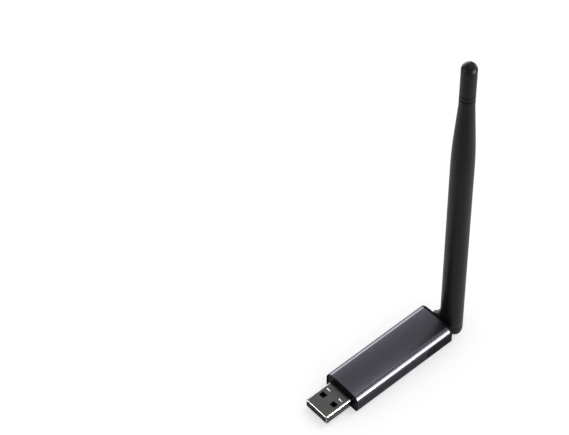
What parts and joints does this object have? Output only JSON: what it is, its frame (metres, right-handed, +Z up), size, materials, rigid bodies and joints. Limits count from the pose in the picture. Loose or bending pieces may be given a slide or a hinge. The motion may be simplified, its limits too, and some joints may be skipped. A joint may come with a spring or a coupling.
{
  "type": "usb radio stick with folding antenna",
  "caption": "Slim metal-bodied USB radio stick with black end caps, a USB plug in front and a folding, swivelling whip antenna behind.",
  "frame": {"origin": "middle of the stick's flat underside", "axes": "+X along the stick from its plug towards the antenna, +Y to the left seen from the plug end, +Z up, along the upright whip"},
  "size_m": [0.0747, 0.0178, 0.1581],
  "materials": {
    "anodised_aluminium": "satin dark grey anodising",
    "cap_plastic": "fine moulded black plastic",
    "plug_steel": "dark plated stamped steel",
    "insulator_plastic": "black moulded plastic",
    "contact_gold": "gold plated",
    "board": "black solder mask on glass fibre",
    "shield_tin": "tinned sheet",
    "chip_plastic": "moulded epoxy",
    "crystal_metal": "plated lid",
    "chip_ceramic": "fired ceramic",
    "resistor_body": "coated ceramic",
    "lamp_resin": "clear resin",
    "antenna_plastic": "satin black plastic",
    "cable_jacket": "thin extruded jacket",
    "spring_steel": "bright spring steel",
    "radiator_brass": "drawn brass",
    "bead_plastic": "natural plastic"
  },
  "bodies": {
    "stick": {"sleeve": "anodised_aluminium", "front_cap": "cap_plastic", "rear_cap": "cap_plastic", "plug_shell": "plug_steel", "plug_tongue": "insulator_plastic", "plug_contacts": "contact_gold", "circuit_board": "board", "radio_shield": "shield_tin", "radio_chip": "chip_plastic", "crystal": "crystal_metal", "memory_chip": "chip_plastic", "bridge_chip": "chip_plastic", "voltage_regulator": "chip_plastic", "chip_capacitors": "chip_ceramic", "chip_resistors": "resistor_body", "status_lamp": "lamp_resin", "cable_socket": "contact_gold", "cable_plug": "contact_gold", "feed_cable": "cable_jacket", "swivel_washer": "spring_steel"},
    "antenna_base": {"antenna_base": "antenna_plastic", "base_cable": "cable_jacket", "retaining_clip": "spring_steel", "hinge_spring": "spring_steel"},
    "whip": {"whip_knuckle": "antenna_plastic", "whip_sleeve": "antenna_plastic", "whip_tip": "antenna_plastic", "whip_cable": "cable_jacket", "choke_tube": "radiator_brass", "radiator_rod": "radiator_brass", "lower_spacer": "bead_plastic", "upper_spacer": "bead_plastic", "hinge_pin": "spring_steel"}
  },
  "joints": [
    {"name": "antenna_swivel", "type": "hinge", "parent": "stick", "child": "antenna_base", "pos_m": [0.02585, 0, 0.00478], "axis": [1, 0, 0], "range_deg": [-180, 180]},
    {"name": "antenna_tilt", "type": "hinge", "parent": "antenna_base", "child": "whip", "pos_m": [0.0307, -0.0022, 0.00478], "axis": [0, 1, 0], "range_deg": [0, 90]}
  ]
}
